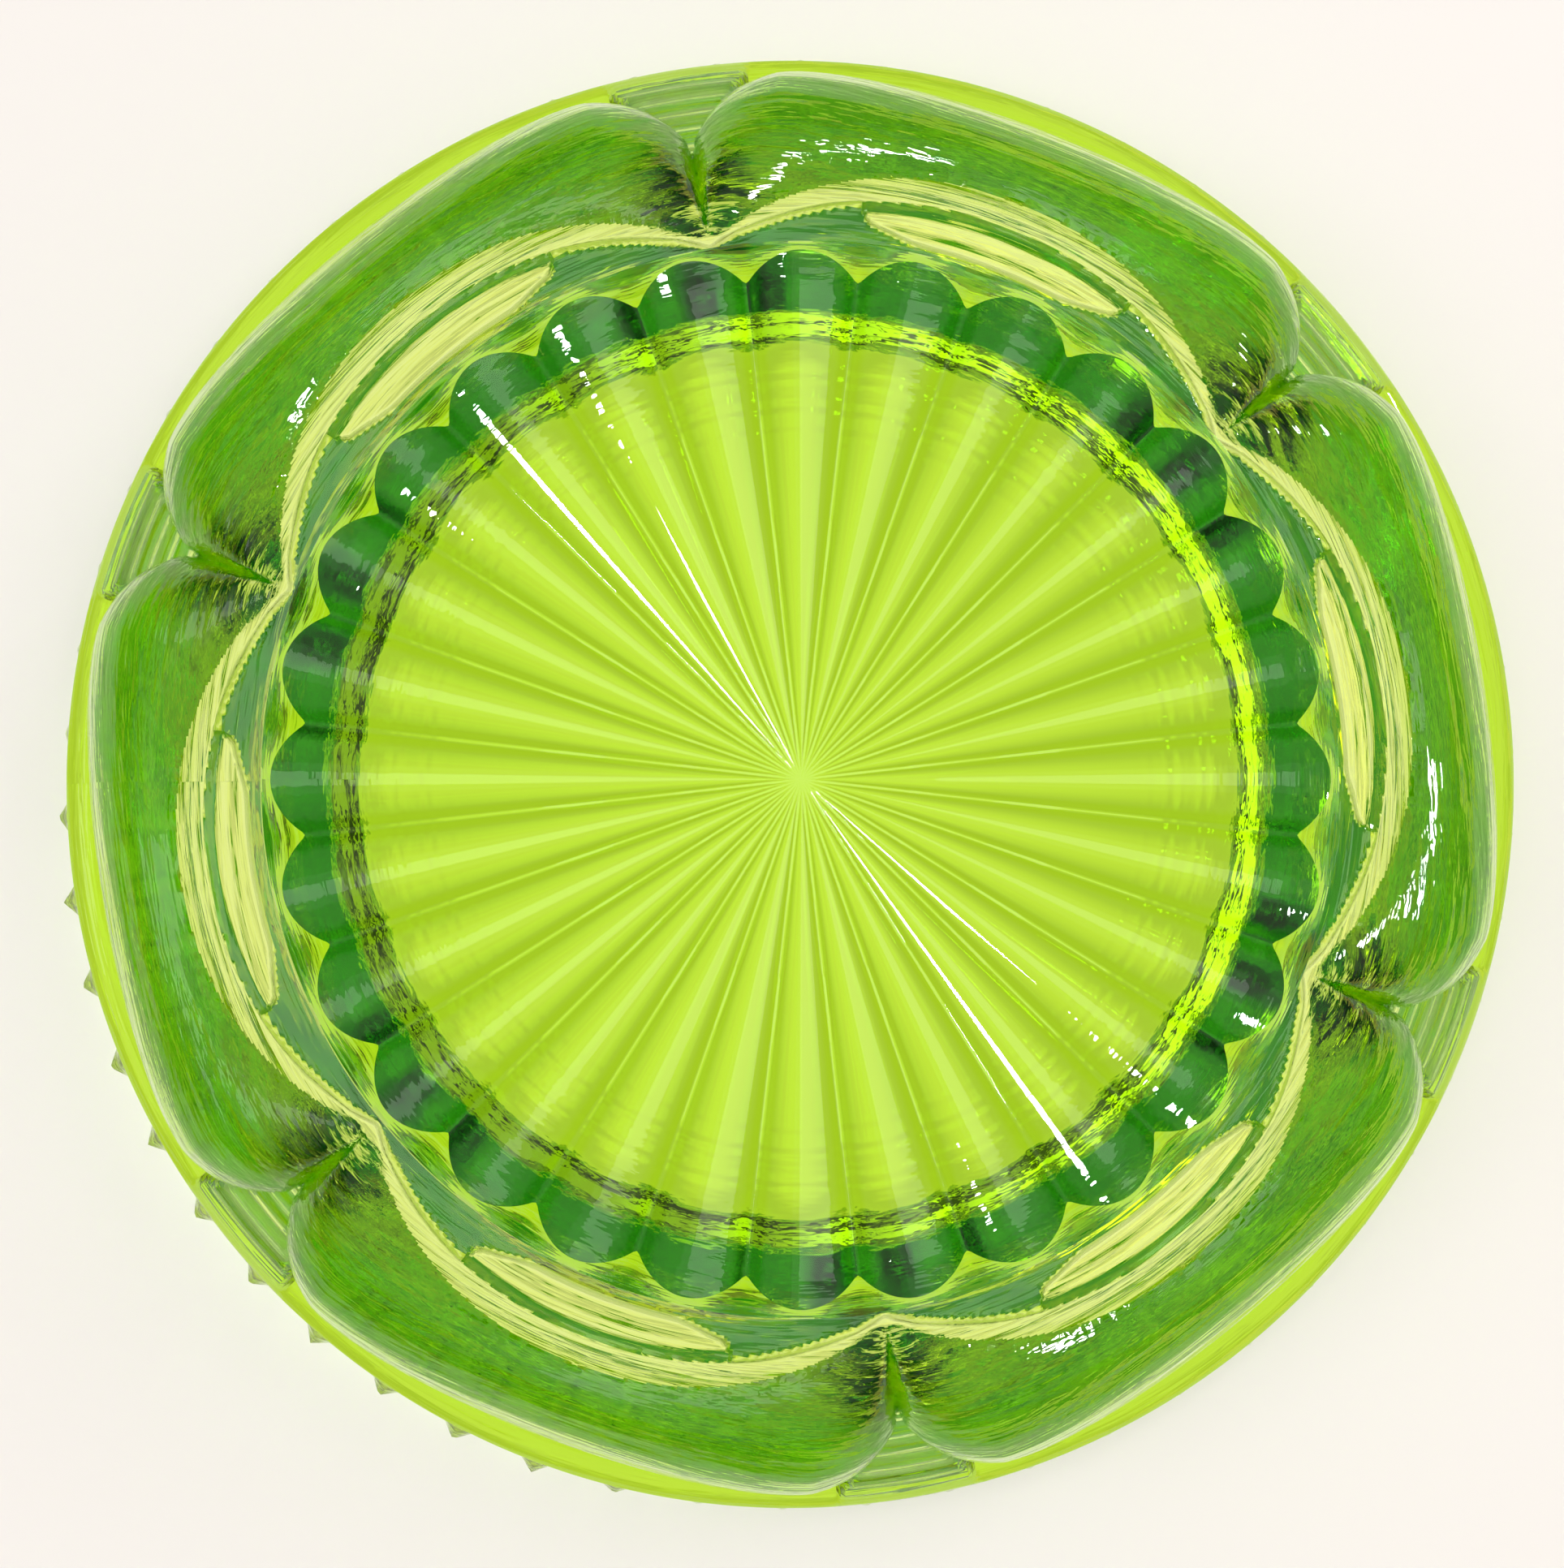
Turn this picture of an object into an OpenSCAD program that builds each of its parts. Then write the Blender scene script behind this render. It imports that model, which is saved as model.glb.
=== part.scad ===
// Pressed glass dish with a star foot, six puffed lobes and a beaded rim band.
// Origin: centre of the foot's resting face. +Z points up, out of the mouth.

/* [Foot] */
// Radius of the round foot
foot_r = 30; // [29.6:0.1:30.2]
// Radius of the star on the foot's resting face
star_r = 27.6; // [27:0.1:28]
// Height of the foot below the bowl
foot_h = 5; // [4.5:0.1:5.5]
// Number of flutes in the star under the foot
flutes = 28; // [20:1:32]
// Width of the flat arris left between two flutes
arris_w = 0.3; // [0.25:0.05:0.5]
// Half of the arc that a flute's trough takes up, in degrees
trough_half_arc = 40; // [36:1:42]

/* [Bowl] */
// Height of the whole dish
dish_h = 38; // [37:0.5:39]
// Height of the flat floor inside the bowl
floor_z = 8; // [7.5:0.1:8.2]
// Radius of the flat floor inside the bowl
floor_r = 23.4; // [23:0.1:23.6]
// Inside radius of the mouth
mouth_r = 41.3; // [41:0.1:41.5]
// Radius of the bowl's outside just under the rim band
shoulder_r = 42; // [41.8:0.1:42.4]

/* [Lobes] */
// Number of lobes around the bowl
lobes = 6; // [6:1:6]
// Radius that the lobes reach
lobe_reach = 43.2; // [42.9:0.1:43.5]
// Height of the widest part of the lobes
lobe_z = 24; // [23.6:0.1:24.4]
// Radius of the roll that a lobe is cut from
lobe_roll = 9; // [8.7:0.1:9.3]
// Angle from the +X axis to the first notch between two lobes, in degrees
first_notch = 20.7; // [0:0.1:60]

/* [Rim] */
// Outer radius of the rim band
rim_r = 44.3; // [44:0.1:44.8]
// Height of the rim band
rim_h = 7; // [6.5:0.1:7.5]
// Points along the rim band over each lobe
points_per_lobe = 9; // [6:1:10]
// How far a point stands out from the rim band
point_reach = 1; // [0.5:0.1:1.2]

/* [Hidden] */
glass = [0.42, 0.78, 0.10];
edge_glass = [0.16, 0.55, 0.10];
fine = 96;
clear = 1;
lobe_pitch = 360 / lobes;

// Foot: the side flares out from the star, and the flutes run out through the flare
flare_z = 1.25;
flare_r = foot_r - 0.45;
waist_z = 11;
waist_r = foot_r + 0.5;

// Star: each flute is a cone with its tip near the centre
flute_slope = sin(180 / flutes);
flute_start = arris_w / 2 / flute_slope;
flute_tilt = atan(flute_slope / tan(trough_half_arc));
flute_length = foot_r + 2;
flute_end_r = flute_length * tan(acos(cos(flute_tilt) * cos(atan(flute_slope))));

// Bell of the bowl: share of the way out and share of the way up at each point of the line
rim_z = dish_h - rim_h;
outer_bell = [[0, 0], [0.02, 0.11], [0.08, 0.195], [0.26, 0.29],
              [0.49, 0.43], [0.7, 0.62], [0.88, 0.835], [1, 1]];
inner_bell = [[0, 0], [0.073, 0.008], [0.117, 0.027], [0.19, 0.067], [0.218, 0.107],
              [0.246, 0.16], [0.285, 0.22], [0.358, 0.28], [0.48, 0.347],
              [0.615, 0.433], [0.737, 0.547], [0.838, 0.683], [0.916, 0.817], [1, 1]];
outer_line = bell_line(outer_bell, [waist_r, waist_z], [shoulder_r, rim_z]);
inner_line = bell_line(inner_bell, [floor_r, floor_z], [mouth_r, dish_h]);

// Lobes: the arch over each panel is cut by a ball set low in the wall
roll_centre = lobe_reach - lobe_roll;
lobe_round = 19.5;
arch_r = 13.5;
arch_x = 31;
arch_z = 9;

// Fans: ladder-ribbed triangles in the notches, which lean out to the rim band
fan_w = 9;
fan_foot = 20;
fan_foot_r = 36.6;
fan_top_r = rim_r - 0.8;
rungs = 5;
rung_half = 0.06;
rung_reach = 0.5;

// Rim band
band_flare = 1.4;
lip = 0.6;
point_z = rim_z + 3.6;
point_r = 1;
point_tip_r = 0.25;

function bell_line(shares, from, to) =
    [for (share = shares) [from[0] + (to[0] - from[0]) * share[0],
                           from[1] + (to[1] - from[1]) * share[1]]];

// Point at a share of the way up a fan's face, standing out from it by reach
function ladder_point(share, reach) =
    [fan_foot_r + (fan_top_r - fan_foot_r) * share + reach,
     fan_foot + (rim_z - fan_foot) * share];

module flute() {
  translate([flute_start, 0, 0])
    rotate([0, 90 + flute_tilt, 0])
      cylinder(h = flute_length, r1 = 0, r2 = flute_end_r, $fn = fine);
}

// Solid inside the bowl's outer line
module bowl_body() {
  rotate_extrude($fn = fine)
    polygon(concat(
      [[0, foot_h], [foot_r + 0.2, foot_h]],
      outer_line,
      [[0, rim_z]]));
}

module cavity() {
  rotate_extrude($fn = fine)
    polygon(concat(
      [[0, floor_z]],
      inner_line,
      [[mouth_r, dish_h + clear], [0, dish_h + clear]]));
}

module star_foot() {
  color(edge_glass)
    difference() {
      rotate_extrude($fn = fine)
        polygon([[0, 0], [star_r, 0], [flare_r, flare_z], [foot_r, 2 * flare_z],
                 [foot_r + 0.2, foot_h], [0, foot_h]]);
      for (k = [0 : flutes - 1])
        rotate([0, 0, k * 360 / flutes])
          flute();
    }
}

module bowl() {
  color(glass)
    difference() {
      bowl_body();
      cavity();
    }
}

module rim_band() {
  point_pitch = lobe_pitch / points_per_lobe;
  color(glass)
    difference() {
      union() {
        rotate_extrude($fn = fine)
          polygon([[0, rim_z], [shoulder_r, rim_z], [rim_r, rim_z + band_flare],
                   [rim_r, dish_h - lip], [rim_r - lip, dish_h], [0, dish_h]]);
        for (k = [0 : lobes * points_per_lobe - 1])
          rotate([0, 0, first_notch + (k + 0.5) * point_pitch])
            translate([rim_r - point_reach, 0, point_z])
              rotate([0, 90, 0])
                cylinder(h = 2 * point_reach, r1 = point_r, r2 = point_tip_r, $fn = fine);
      }
      cavity();
    }
}

// Outline of a lobe on the +X axis: a puffed roll with round ends, arched underneath
module lobe_blank() {
  difference() {
    intersection() {
      rotate_extrude($fn = fine)
        translate([roll_centre, lobe_z])
          circle(r = lobe_roll, $fn = fine);
      translate([roll_centre + 1, 0, lobe_z])
        sphere(r = lobe_round, $fn = fine);
      lobe_sector();
    }
    translate([arch_x, 0, arch_z])
      sphere(r = arch_r, $fn = fine);
  }
}

// The sixth of the dish that one lobe may fill, up to the rim band
module lobe_sector() {
  far = 2 * rim_r;
  half = lobe_pitch / 2;
  linear_extrude(height = rim_z)
    polygon([[0, 0], [far * cos(half), -far * sin(half)], [far * cos(half), far * sin(half)]]);
}

module lobe(i) {
  color(glass)
    rotate([0, 0, first_notch + (i - 0.5) * lobe_pitch])
      difference() {
        lobe_blank();
        bowl_body();
      }
}

// The ladder-ribbed triangle in the notch between two lobes, under the rim band
module fan(i) {
  color(edge_glass)
    rotate([0, 0, first_notch + (i - 1) * lobe_pitch])
      difference() {
        intersection() {
          rotate([90, 0, 90])
            linear_extrude(height = rim_r)
              polygon([[0, fan_foot], [fan_w / 2, rim_z], [-fan_w / 2, rim_z]]);
          ladder();
        }
        bowl_body();
        for (side = [-0.5, 0.5])
          rotate([0, 0, side * lobe_pitch])
            lobe_blank();
      }
}

// Solid of revolution whose leaning outside carries the ladder's rungs
module ladder() {
  rotate_extrude($fn = fine)
    polygon(concat(
      [[waist_r, fan_foot], [fan_foot_r, fan_foot]],
      [for (k = [1 : rungs], step = [-1, 0, 1])
        ladder_point(k / (rungs + 1) + step * rung_half, rung_reach * (1 - abs(step)))],
      [[fan_top_r, rim_z], [waist_r, rim_z]]));
}

star_foot();
bowl();
rim_band();
lobe(1);  // lobe_1
lobe(2);  // lobe_2
lobe(3);  // lobe_3
lobe(4);  // lobe_4
lobe(5);  // lobe_5
lobe(6);  // lobe_6
fan(1);  // fan_1
fan(2);  // fan_2
fan(3);  // fan_3
fan(4);  // fan_4
fan(5);  // fan_5
fan(6);  // fan_6
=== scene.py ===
import math

import bpy
import numpy as np
from mathutils import Matrix, Vector


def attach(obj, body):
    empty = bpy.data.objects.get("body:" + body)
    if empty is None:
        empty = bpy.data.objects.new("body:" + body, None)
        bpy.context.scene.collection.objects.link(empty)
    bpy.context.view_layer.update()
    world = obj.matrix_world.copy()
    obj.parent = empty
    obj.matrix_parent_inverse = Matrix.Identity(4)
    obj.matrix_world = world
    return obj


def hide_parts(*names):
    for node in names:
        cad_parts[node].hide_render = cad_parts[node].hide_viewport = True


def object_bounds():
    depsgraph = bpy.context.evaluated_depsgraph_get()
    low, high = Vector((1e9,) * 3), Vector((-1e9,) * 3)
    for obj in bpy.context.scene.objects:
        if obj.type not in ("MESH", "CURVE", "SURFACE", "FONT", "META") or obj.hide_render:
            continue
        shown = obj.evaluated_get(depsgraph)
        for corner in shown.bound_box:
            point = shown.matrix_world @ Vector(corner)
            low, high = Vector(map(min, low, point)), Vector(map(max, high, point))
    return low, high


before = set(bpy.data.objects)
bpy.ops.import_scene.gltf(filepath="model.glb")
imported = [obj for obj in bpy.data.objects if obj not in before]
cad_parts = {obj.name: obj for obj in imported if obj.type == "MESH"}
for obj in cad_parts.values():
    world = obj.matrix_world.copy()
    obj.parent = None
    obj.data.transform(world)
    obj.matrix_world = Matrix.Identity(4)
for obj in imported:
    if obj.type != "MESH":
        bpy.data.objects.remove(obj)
CAD_LO, CAD_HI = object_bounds()

# ---------------------------------------------------------------- sizes, in millimetres
MM = 0.001
HEIGHT = CAD_HI.z / MM
FLUTES = 28
LOBES = 6
NOTCH = 58 / 2.8                    # angle of the first notch between lobes, degrees
AROUND = 36 * FLUTES                # vertices in one ring
LAND = 0.16                         # flat line left between two flutes
TROUGH = math.radians(40)           # half of the arc a flute is cut with
DOME = 1.5                          # how far the middle of the star is raised
STAR_R = 27.6                       # where the flared side of the foot starts
FOOT_R, FOOT_FLARE = 29.55, 1.25    # where that side has flared out, and how high that is

# Profiles as (radius, height): the foot's side, the wall at a notch and at the middle of a
# lobe, and the cavity from its floor to the lip

SIDE = [(30.0, 2.0), (30.2, 5.0), (30.3, 9.0), (30.5, 11.0)]
VALLEY = [(30.5, 11.0), (30.75, 13.2), (31.4, 14.9), (33.5, 16.8), (36.1, 19.6),
          (38.5, 23.4), (40.6, 27.7), (42.0, 31.0)]
CREST = [(30.5, 11.0), (30.75, 13.2), (31.6, 14.2), (34.6, 15.4), (38.6, 17.2),
         (41.8, 20.2), (43.2, 24.6), (42.6, 31.0)]
CAVITY = [(23.4, 8.0), (24.7, 8.25), (25.5, 8.8), (26.8, 10.0), (27.3, 11.2), (27.8, 12.8),
          (28.5, 14.6), (29.8, 16.4), (32.0, 18.4), (34.4, 21.0), (36.6, 24.4),
          (38.4, 28.5), (39.8, 32.5), (41.2, 37.4)]
FLOOR_Z = CAVITY[0][1]
ARCH_SIDE, ARCH_MID = 0.20, 0.50    # where a lobe starts up the wall, at a notch and mid-lobe
BEAD_SIDE, BEAD_MID = 0.17, 0.35    # the raised line under that arch
BEAD, BEAD_WIDTH = 0.45, 0.014      # its height, and its width as a share of the wall
LOBE_WIDTH = [(0, 30), (0.56, 30), (0.75, 27.6), (1, 24.5)]    # half-width in degrees
LOBE_SQUARE = 5.0                   # how square the ends of a lobe are
LOBE_RISE, LOBE_FALL = 0.4, 0.25    # shares of a lobe's height that its rounded edges take
LOBE_FLAT, FLAT_HALF = 0.4, 22      # how much less its middle stands out, and how wide that is
LEDGE_Z = 14.2                      # the shelf round the foot that the six panels cut into
PANEL_FROM, PANEL_EDGE = 0.19, 0.03
FAN_FROM = 0.58                     # share of the wall at which the fans start
FAN_LEAN = 1.5                      # how far a fan leans out by the time it meets the band
RUNG, RUNGS = 0.12, 12              # depth of a fan's ribs, and ribs over a whole wall
RIM_R, RIM_Z, LIP = 44.3, 31.0, 0.6
POINTS, POINT_H = 54, 1.0
POINTS_MIDDLE = math.radians(142)   # the side on which the points stand out most
PLUNGER = 0.012                     # height of the rings left on the cavity floor

angle = np.arange(AROUND) * 2 * math.pi / AROUND
flute_turn = (angle + math.pi / FLUTES) % (2 * math.pi / FLUTES) - math.pi / FLUTES
lobe_turn = (np.degrees(angle) - NOTCH) % (360 / LOBES) - 180 / LOBES
ones = np.ones(AROUND)


def smooth(x):
    x = np.clip(x, 0, 1)
    return x * x * (3 - 2 * x)


def spline(points, n):
    """n + 1 points along a centripetal Catmull-Rom curve through the given points."""
    p = np.array(points, float)
    p = np.vstack([2 * p[0] - p[1], p, 2 * p[-1] - p[-2]])
    length = np.linalg.norm(np.diff(p, axis=0), axis=1)
    knots = np.concatenate([[0], np.cumsum(np.sqrt(length))])
    along = np.concatenate([[0], np.cumsum(length[1:-1])])
    out = []
    for s in np.linspace(0, along[-1], n + 1):
        i = min(int(np.searchsorted(along, s, side="right")) - 1, len(points) - 2)
        k = knots[i:i + 4]
        t = k[1] + (k[2] - k[1]) * (s - along[i]) / length[i + 1]
        q = [p[i + j] for j in range(4)]
        for level in (1, 2, 3):
            q = [((k[j + level] - t) * q[j] + (t - k[j]) * q[j + 1]) / (k[j + level] - k[j])
                 if level < 3 else
                 ((k[2] - t) * q[j] + (t - k[1]) * q[j + 1]) / (k[2] - k[1])
                 for j in range(4 - level)]
        out.append(q[0])
    return np.array(out)


def base_height(r):
    """Height of the underside at radius r: the flutes on the raised middle of the foot."""
    half = np.maximum(r * math.sin(math.pi / FLUTES) - LAND / 2, 0)
    arc = half / math.sin(TROUGH)
    across = r * np.sin(flute_turn)
    cut = np.sqrt(np.maximum(arc ** 2 - across ** 2, 0)) - arc * math.cos(TROUGH)
    return np.maximum(cut, 0) + DOME * (1 - (np.minimum(r, STAR_R) / STAR_R) ** 2)


def star_rings():
    rings = [(ones * r, base_height(r)) for r in np.linspace(0.6, STAR_R, 60)]
    radii = np.linspace(STAR_R, FOOT_R + 1, 400)
    flare = (radii - STAR_R) / (FOOT_R - STAR_R) * FOOT_FLARE
    cut = np.array([base_height(r) for r in radii])
    ends = radii[np.argmax(flare[:, None] >= cut, axis=0)]
    for f in np.linspace(0, 1, 9)[1:]:
        r = STAR_R + (ends - STAR_R) * f
        rings.append((r, base_height(r)))
    return rings


def side_rings(last):
    curve = spline(SIDE, 12)
    rings = []
    for f in np.linspace(0, 1, 6)[1:]:
        rings.append((last[0] + (curve[0, 0] - last[0]) * f, last[1] + (curve[0, 1] - last[1]) * f))
    return rings + [(ones * r, ones * z) for r, z in curve[1:]]


def wall_rings(steps=130):
    """The lower wall, the arch lines, the six lobes and the fans between them."""
    low, high = spline(VALLEY, steps), spline(CREST, steps)
    width = np.array(LOBE_WIDTH)
    mid = 1 - (np.abs(lobe_turn) / 30) ** 2
    start = ARCH_SIDE + (ARCH_MID - ARCH_SIDE) * mid
    bead_at = BEAD_SIDE + (BEAD_MID - BEAD_SIDE) * mid
    panel_at = PANEL_FROM + 0.05 * smooth((np.abs(lobe_turn) - 7) / 8)
    panel_at = panel_at + 0.2 * smooth((np.abs(lobe_turn) - 13) / 4)
    panel_at = np.minimum(panel_at, bead_at - 0.02)
    rings = []
    for i in range(1, steps + 1):
        v = i / steps
        half = np.interp(v, width[:, 0], width[:, 1])
        across = (1 - np.clip(np.abs(lobe_turn) / half, 0, 1) ** LOBE_SQUARE) ** 0.5
        t = np.clip((v - start) / (1 - start), 0, 1)
        rise = np.sqrt(1 - (1 - np.clip(t / LOBE_RISE, 0, 1)) ** 2)
        fall = np.sqrt(1 - (1 - np.clip((1 - t) / LOBE_FALL, 0, 1)) ** 2)
        flat = 1 - LOBE_FLAT * np.clip(1 - (lobe_turn / FLAT_HALF) ** 2, 0, 1)
        amount = across * rise * fall * flat
        bead = BEAD * np.exp(-((v - bead_at) / BEAD_WIDTH) ** 2)
        bead = bead * np.clip((30 - np.abs(lobe_turn)) / 3, 0, 1)
        tangent = low[min(i + 1, steps)] - low[i - 1]
        tangent /= np.linalg.norm(tangent)
        dr, dz = high[i] - low[i]
        if v > FAN_FROM:
            edge = smooth((np.abs(lobe_turn) - half + 0.3) / 0.6)
            share = (v - FAN_FROM) / (1 - FAN_FROM)
            rung = edge * (FAN_LEAN * share + RUNG * math.sin((v - FAN_FROM) * 2 * math.pi * RUNGS))
        else:
            rung = 0
        ledge = 1 - smooth((v - panel_at) / PANEL_EDGE)
        wall_z = low[i, 1] + (min(low[i, 1], LEDGE_Z) - low[i, 1]) * ledge
        rings.append((low[i, 0] + dr * amount + tangent[1] * bead + rung,
                      wall_z + dz * amount - tangent[0] * bead))
    return rings


def rim_rings(last):
    """The plain band under the mouth with its row of small points, then the round lip."""
    turn = ((np.degrees(angle) - NOTCH) * POINTS / 360) % 1
    tooth = np.clip((1 - np.abs(turn * 2 - 1)) * 2.2 - 1.2, 0, 1)
    tooth *= 0.35 + 0.65 * smooth((np.cos(angle - POINTS_MIDDLE) - 0.7) * 5)
    rings = []
    for t in np.linspace(0, 1, 31)[1:]:
        lift = smooth(t / 0.2)
        point = POINT_H * tooth * max(0, 1 - abs(t - 0.5) / 0.2)
        z = RIM_Z + (HEIGHT - LIP - RIM_Z) * t
        rings.append((last[0] * (1 - lift) + RIM_R * lift + point, ones * z))
    mid, half = (CAVITY[-1][0] + RIM_R) / 2, (RIM_R - CAVITY[-1][0]) / 2
    for k in range(1, 10):
        a = math.radians(18 * k)
        rings.append((ones * (mid + half * math.cos(a)), ones * (HEIGHT - LIP + LIP * math.sin(a))))
    return rings


def cavity_rings():
    """The inside, with the faint rings that the plunger leaves round the edge of the floor."""
    rings = []
    floor = [(r, FLOOR_Z) for r in np.arange(CAVITY[0][0] - 0.13, 18, -0.13)]
    for r, z in [*spline(CAVITY, 130)[::-1], *floor]:
        fade = smooth((r - 19) / 2) * smooth((25.5 - r) / 1.5)
        ring = PLUNGER * fade * (math.sin(r * 6.3) + 0.6 * math.sin(r * 10.1 + 1))
        rings.append((ones * r, ones * (z + ring)))
    return rings + [(ones * r, ones * FLOOR_Z) for r in np.linspace(17.6, 0.6, 20)]


def glass_mesh():
    """One closed skin: up the outside from the middle of the foot, over the lip, down inside."""
    rings = star_rings()
    rings += side_rings(rings[-1])
    rings += wall_rings()
    rings += rim_rings(rings[-1])
    rings += cavity_rings()
    rows = len(rings)
    co = np.zeros((rows * AROUND + 2, 3))
    for j, (r, z) in enumerate(rings):
        part = slice(j * AROUND, (j + 1) * AROUND)
        co[part, 0], co[part, 1], co[part, 2] = r * np.cos(angle), r * np.sin(angle), z
    co[-2] = (0, 0, DOME)
    co[-1] = (0, 0, FLOOR_Z)
    a = np.arange(AROUND)
    b = (a + 1) % AROUND
    quads = np.vstack([np.stack([j * AROUND + a, j * AROUND + b, (j + 1) * AROUND + b,
                                 (j + 1) * AROUND + a], 1) for j in range(rows - 1)])
    top = (rows - 1) * AROUND
    tris = np.vstack([np.stack([np.full(AROUND, rows * AROUND), b, a], 1),
                      np.stack([np.full(AROUND, rows * AROUND + 1), top + a, top + b], 1)])
    mesh = bpy.data.meshes.new("glass")
    mesh.vertices.add(len(co))
    mesh.vertices.foreach_set("co", (co * MM).ravel())
    mesh.loops.add(quads.size + tris.size)
    mesh.loops.foreach_set("vertex_index", np.concatenate([quads.ravel(), tris.ravel()]))
    mesh.polygons.add(len(quads) + len(tris))
    mesh.polygons.foreach_set("loop_start", np.concatenate(
        [np.arange(len(quads)) * 4, quads.size + np.arange(len(tris)) * 3]))
    mesh.update()
    mesh.validate()
    mesh.polygons.foreach_set("use_smooth", np.ones(len(mesh.polygons), bool))
    mesh.set_sharp_from_angle(angle=math.radians(32))
    return mesh


# ---------------------------------------------------------------- materials
def node_material(name):
    m = bpy.data.materials.new(name)
    m.use_nodes = True
    m.node_tree.nodes.clear()
    return m, m.node_tree.nodes, m.node_tree.links


def mould_ripple(nodes, links):
    """Fine streaks that run round the wall, as a pressed piece has where the glass crept."""
    coords = nodes.new("ShaderNodeTexCoord")
    split = nodes.new("ShaderNodeSeparateXYZ")
    turn = nodes.new("ShaderNodeMath")
    turn.operation = "ARCTAN2"
    reach = nodes.new("ShaderNodeVectorMath")
    reach.operation = "LENGTH"
    flat = nodes.new("ShaderNodeCombineXYZ")
    place = nodes.new("ShaderNodeCombineXYZ")
    stretch = nodes.new("ShaderNodeVectorMath")
    stretch.operation = "MULTIPLY"
    stretch.inputs[1].default_value = (2.5, 900.0, 900.0)
    noise = nodes.new("ShaderNodeTexNoise")
    noise.inputs["Scale"].default_value = 1.0
    noise.inputs["Detail"].default_value = 3.0
    mask = nodes.new("ShaderNodeMapRange")
    mask.inputs["From Min"].default_value = 0.019
    mask.inputs["From Max"].default_value = 0.036
    mask.inputs["To Max"].default_value = 0.6
    bump = nodes.new("ShaderNodeBump")
    bump.inputs["Distance"].default_value = 0.0004
    links.new(coords.outputs["Object"], split.inputs[0])
    links.new(split.outputs["Y"], turn.inputs[0])
    links.new(split.outputs["X"], turn.inputs[1])
    links.new(split.outputs["X"], flat.inputs[0])
    links.new(split.outputs["Y"], flat.inputs[1])
    links.new(flat.outputs[0], reach.inputs[0])
    links.new(turn.outputs[0], place.inputs[0])
    links.new(reach.outputs["Value"], place.inputs[1])
    links.new(split.outputs["Z"], place.inputs[2])
    links.new(place.outputs[0], stretch.inputs[0])
    links.new(stretch.outputs[0], noise.inputs["Vector"])
    links.new(reach.outputs["Value"], mask.inputs["Value"])
    links.new(noise.outputs[0], bump.inputs["Height"])
    links.new(mask.outputs[0], bump.inputs["Strength"])
    return bump.outputs[0]


def glass_material():
    """Yellow-green uranium glass: clear surface, colour taken up with the thickness."""
    m, nodes, links = node_material("uranium_glass")
    out = nodes.new("ShaderNodeOutputMaterial")
    skin = nodes.new("ShaderNodeBsdfPrincipled")
    skin.inputs["Base Color"].default_value = (1, 1, 1, 1)
    skin.inputs["Roughness"].default_value = 0.0
    skin.inputs["IOR"].default_value = 1.52
    skin.inputs["Transmission Weight"].default_value = 1
    body = nodes.new("ShaderNodeVolumeAbsorption")
    per_metre = (95.0, 27.0, 535.0)
    density = max(per_metre) * 1.03
    links.new(mould_ripple(nodes, links), skin.inputs["Normal"])
    body.inputs["Density"].default_value = density
    body.inputs["Color"].default_value = tuple(1 - s / density for s in per_metre) + (1,)
    links.new(skin.outputs[0], out.inputs["Surface"])
    links.new(body.outputs[0], out.inputs["Volume"])
    return m


def one_sided_material(name, color):
    """A pale matt sheet that shows only from its front."""
    m, nodes, links = node_material(name)
    out = nodes.new("ShaderNodeOutputMaterial")
    matt = nodes.new("ShaderNodeBsdfDiffuse")
    matt.inputs["Color"].default_value = (*color, 1)
    clear = nodes.new("ShaderNodeBsdfTransparent")
    mix = nodes.new("ShaderNodeMixShader")
    geometry = nodes.new("ShaderNodeNewGeometry")
    links.new(geometry.outputs["Backfacing"], mix.inputs[0])
    links.new(matt.outputs[0], mix.inputs[1])
    links.new(clear.outputs[0], mix.inputs[2])
    links.new(mix.outputs[0], out.inputs["Surface"])
    return m


def add_object(name, mesh, material):
    mesh.materials.append(material)
    obj = bpy.data.objects.new(name, mesh)
    bpy.context.scene.collection.objects.link(obj)
    return obj


# ---------------------------------------------------------------- the dish
glass = add_object("glass_dish", glass_mesh(), glass_material())
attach(glass, "root")
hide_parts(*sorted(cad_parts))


# ---------------------------------------------------------------- surroundings
def ring_sheet(name, inner, outer, z, facing_up, material):
    """A flat ring, or a disc when inner is 0."""
    steps = 96
    turn = [2 * math.pi * k / steps for k in range(steps)]
    verts = [(r * math.cos(t), r * math.sin(t), z) for r in (inner, outer) for t in turn]
    faces = []
    for k in range(steps):
        n = (k + 1) % steps
        face = (k, steps + k, steps + n, n)
        faces.append(face if facing_up else face[::-1])
    mesh = bpy.data.meshes.new(name)
    mesh.from_pydata(verts, [], faces)
    obj = add_object(name, mesh, material)
    return obj


table = ring_sheet("table", 0.0432, 3.0, HEIGHT * MM, False,
                   one_sided_material("table_paper", (0.84, 0.80, 0.84)))
table.visible_diffuse = False
table.visible_shadow = False
table.visible_transmission = False
floor = ring_sheet("floor", 0.0, 3.0, 0.0, True,
                   one_sided_material("floor_paper", (0.80, 0.78, 0.72)))
floor.visible_diffuse = False
floor.visible_glossy = False
floor.visible_transmission = False
floor.visible_shadow = False


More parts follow.
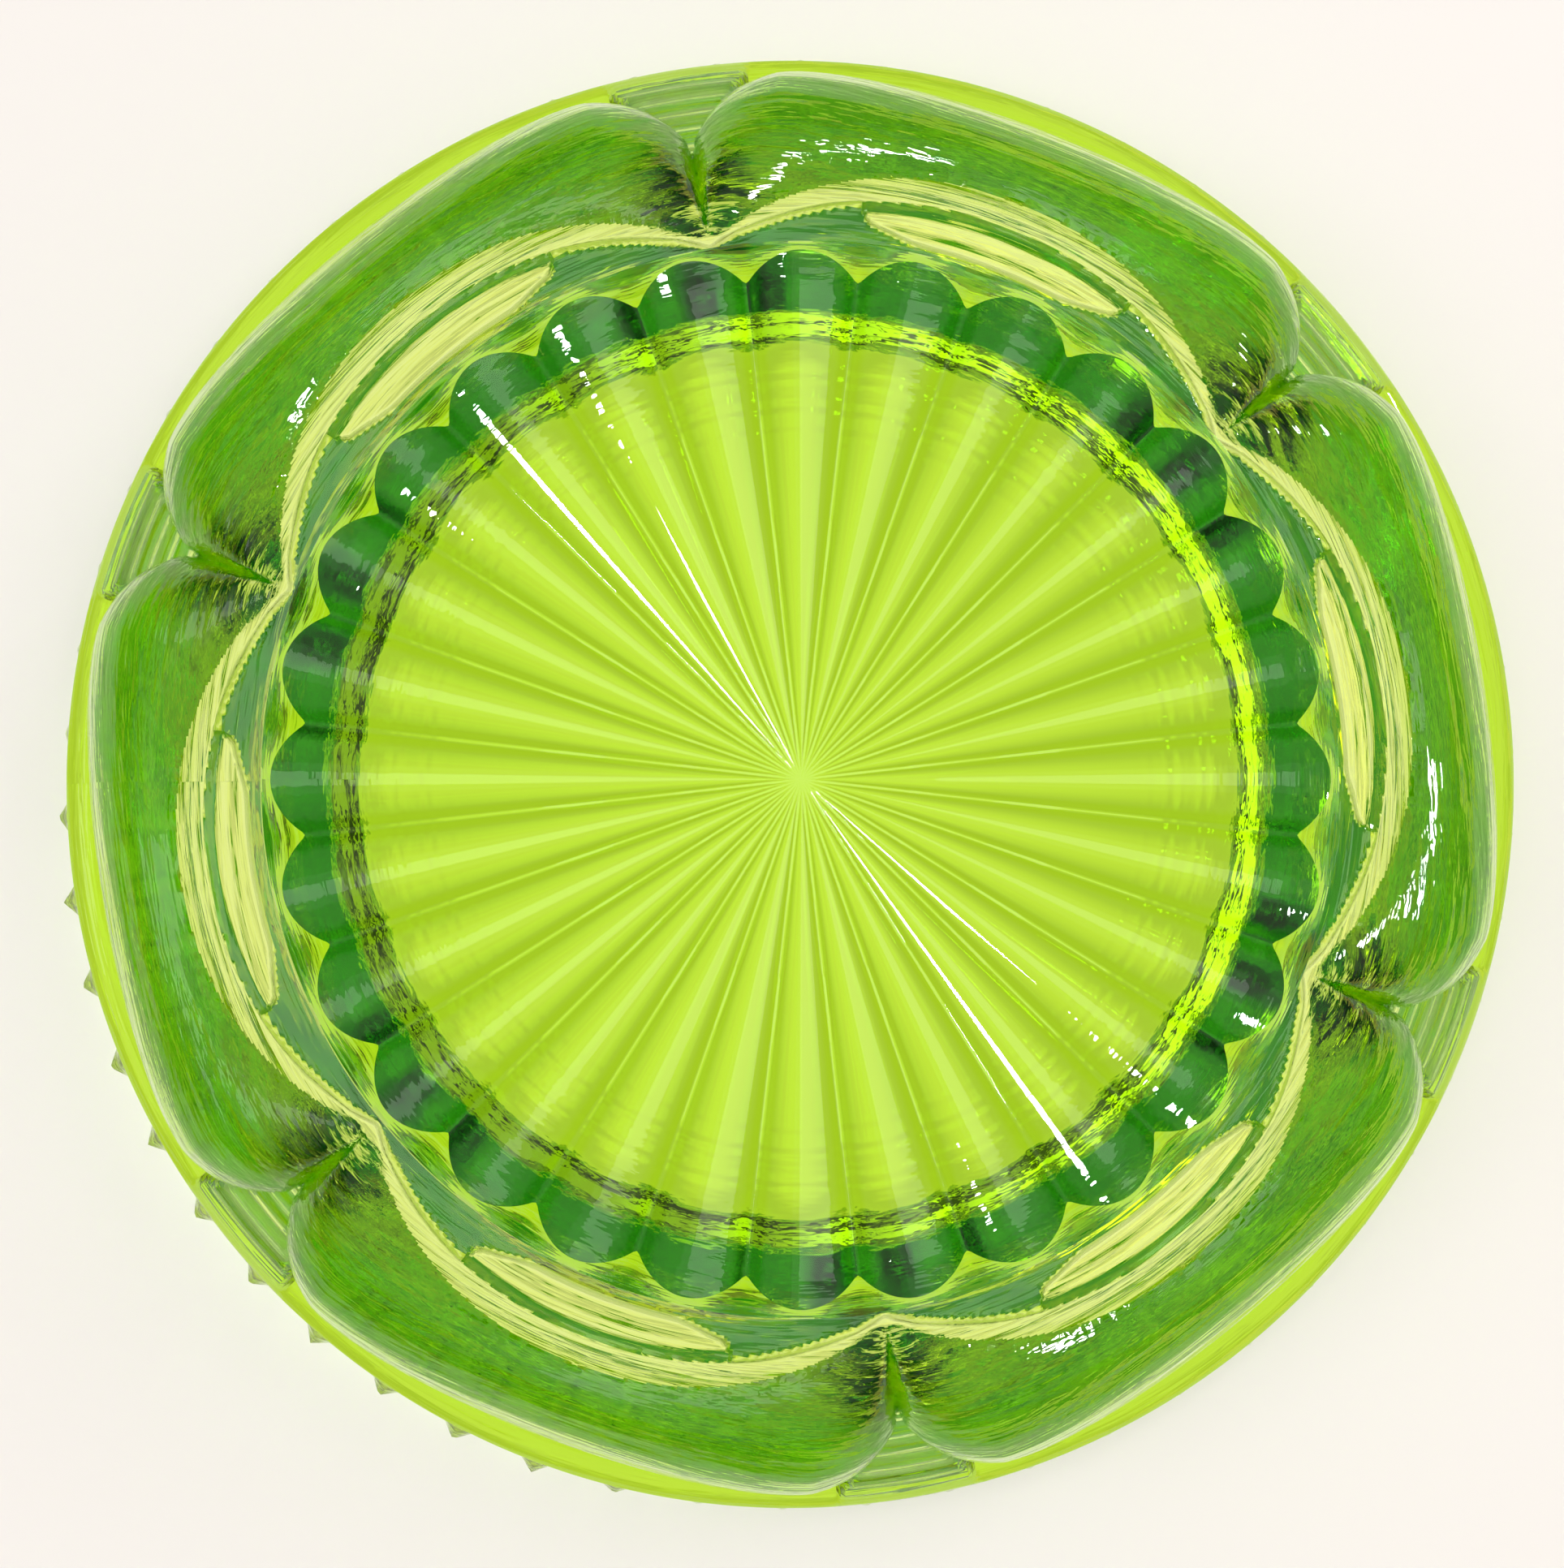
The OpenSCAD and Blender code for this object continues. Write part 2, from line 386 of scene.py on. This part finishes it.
def backdrop():
    """A pale wall far behind the floor, seen only directly."""
    m, nodes, links = node_material("backdrop_paper")
    out = nodes.new("ShaderNodeOutputMaterial")
    glow = nodes.new("ShaderNodeEmission")
    glow.inputs["Color"].default_value = (0.80, 0.78, 0.71, 1)
    links.new(glow.outputs[0], out.inputs["Surface"])
    steps = 96
    turn = [2 * math.pi * k / steps for k in range(steps)]
    verts = [(2.9 * math.cos(t), 2.9 * math.sin(t), z) for z in (0.0, 3.0) for t in turn]
    faces = [(k, (k + 1) % steps, steps + (k + 1) % steps, steps + k) for k in range(steps)]
    mesh = bpy.data.meshes.new("backdrop")
    mesh.from_pydata(verts, [], faces)
    obj = add_object("backdrop", mesh, m)
    obj.visible_diffuse = obj.visible_glossy = False
    obj.visible_transmission = obj.visible_shadow = False


backdrop()


# Light from each height (-1 straight down, 1 straight up): soft below, a bright band round the
# horizon, light and dark bands above it that streak the lobes, and a pale middle overhead
SKY = [(-1.0, (0.62, 0.60, 0.50)), (-0.62, (0.55, 0.53, 0.45)), (-0.45, (0.14, 0.14, 0.12)),
       (-0.24, (0.20, 0.18, 0.15)), (-0.18, (2.4, 2.0, 0.5)), (0.11, (2.4, 2.0, 0.5)),
       (0.17, (0.12, 0.12, 0.10)), (0.27, (0.95, 0.95, 0.75)), (0.36, (0.10, 0.10, 0.09)),
       (0.48, (0.95, 0.95, 0.78)), (0.60, (0.10, 0.10, 0.09)), (0.70, (0.85, 0.85, 0.70)),
       (0.78, (0.12, 0.12, 0.10)), (0.88, (0.86, 0.84, 0.76)), (0.965, (0.75, 0.73, 0.65)),
       (0.992, (1.0, 0.96, 0.86)), (1.0, (1.0, 0.96, 0.86))]


def build_world():
    """Studio light by height, with the bright band strongest on one side."""
    world = bpy.data.worlds.new("studio")
    bpy.context.scene.world = world
    world.use_nodes = True
    nodes, links = world.node_tree.nodes, world.node_tree.links
    nodes.clear()
    out = nodes.new("ShaderNodeOutputWorld")
    sky = nodes.new("ShaderNodeBackground")
    coords = nodes.new("ShaderNodeTexCoord")
    split = nodes.new("ShaderNodeSeparateXYZ")
    spread = nodes.new("ShaderNodeMapRange")
    ramp = nodes.new("ShaderNodeValToRGB")
    spread.inputs["From Min"].default_value = -1
    spread.inputs["From Max"].default_value = 1
    links.new(coords.outputs["Generated"], split.inputs[0])
    links.new(split.outputs["Z"], spread.inputs["Value"])
    links.new(spread.outputs[0], ramp.inputs["Fac"])
    side = nodes.new("ShaderNodeVectorMath")
    side.operation = "DOT_PRODUCT"
    side.inputs[1].default_value = (0.95, -0.2, 0)
    share = nodes.new("ShaderNodeMapRange")
    share.inputs["From Min"].default_value = -0.5
    share.inputs["From Max"].default_value = 0.5
    share.inputs["To Min"].default_value = 0.3
    level = nodes.new("ShaderNodeMath")
    level.operation = "ABSOLUTE"
    near = nodes.new("ShaderNodeMapRange")
    near.inputs["From Min"].default_value = 0.25
    near.inputs["From Max"].default_value = 0.5
    blend = nodes.new("ShaderNodeMix")
    links.new(coords.outputs["Generated"], side.inputs[0])
    links.new(side.outputs["Value"], share.inputs["Value"])
    links.new(split.outputs["Z"], level.inputs[0])
    links.new(level.outputs[0], near.inputs["Value"])
    links.new(near.outputs[0], blend.inputs["Factor"])
    links.new(share.outputs[0], blend.inputs["A"])
    blend.inputs["B"].default_value = 1.0
    links.new(blend.outputs["Result"], sky.inputs["Strength"])
    links.new(ramp.outputs["Color"], sky.inputs["Color"])
    links.new(sky.outputs[0], out.inputs["Surface"])
    while len(ramp.color_ramp.elements) < len(SKY):
        ramp.color_ramp.elements.new(0.5)
    for element, (height, color) in zip(ramp.color_ramp.elements, SKY):
        element.position = (height + 1) / 2
        element.color = (*color, 1)


# ---------------------------------------------------------------- camera, from under the foot
RIGHT, UP, BACK = Vector((1, 0, 0)), Vector((0, -1, 0)), Vector((0, 0, -1))
DISTANCE = 0.300
FRAME_HEIGHT = 0.08664              # height of the picture at the foot


def build_camera():
    data = bpy.data.cameras.new("camera")
    data.sensor_width = 36
    data.lens = 36 * DISTANCE / FRAME_HEIGHT
    data.shift_x, data.shift_y = -0.0127, -0.0031
    place = BACK * DISTANCE + (RIGHT * -0.9 + UP * -0.4) * (math.tan(math.radians(1.2)) * DISTANCE)
    back = place.normalized()
    right = UP.cross(back).normalized()
    up = back.cross(right)
    obj = bpy.data.objects.new("camera", data)
    bpy.context.scene.collection.objects.link(obj)
    obj.matrix_world = Matrix(((right.x, up.x, back.x, place.x), (right.y, up.y, back.y, place.y),
                               (right.z, up.z, back.z, place.z), (0, 0, 0, 1)))
    bpy.context.scene.camera = obj


def area_lamp(name, place, width, height, radiance):
    data = bpy.data.lights.new(name, "AREA")
    data.shape = "RECTANGLE"
    data.size, data.size_y = width, height
    data.energy = radiance * math.pi * width * height
    obj = bpy.data.objects.new(name, data)
    bpy.context.scene.collection.objects.link(obj)
    obj.location = place
    obj.rotation_euler = (-place).to_track_quat("-Z", "Y").to_euler()
    return obj


build_world()
build_camera()
key = area_lamp("key", RIGHT * 0.714 + UP * 0.558 + BACK * 1.32, 0.26, 0.26, 60)
key.data.use_shadow = False
shade = area_lamp("shade", key.location.copy(), 0.7, 0.7, 2.4)
shade.visible_glossy = False
shade.visible_transmission = False
area_lamp("soft_box", RIGHT * -0.32 + BACK * 1.2, 1.0, 1.4, 0.25)
area_lamp("window", RIGHT * -0.42 + BACK * 1.15, 0.45, 1.1, 1.4)
overhead = area_lamp("overhead", Vector((-0.7, -0.8, 1.2)), 0.9, 0.9, 4.0)
overhead.visible_transmission = False

scene = bpy.context.scene
scene.view_settings.view_transform = "Standard"
scene.cycles.max_bounces = 24
scene.cycles.transmission_bounces = 24
scene.cycles.glossy_bounces = 16
scene.cycles.transparent_max_bounces = 16
scene.cycles.sample_clamp_indirect = 4
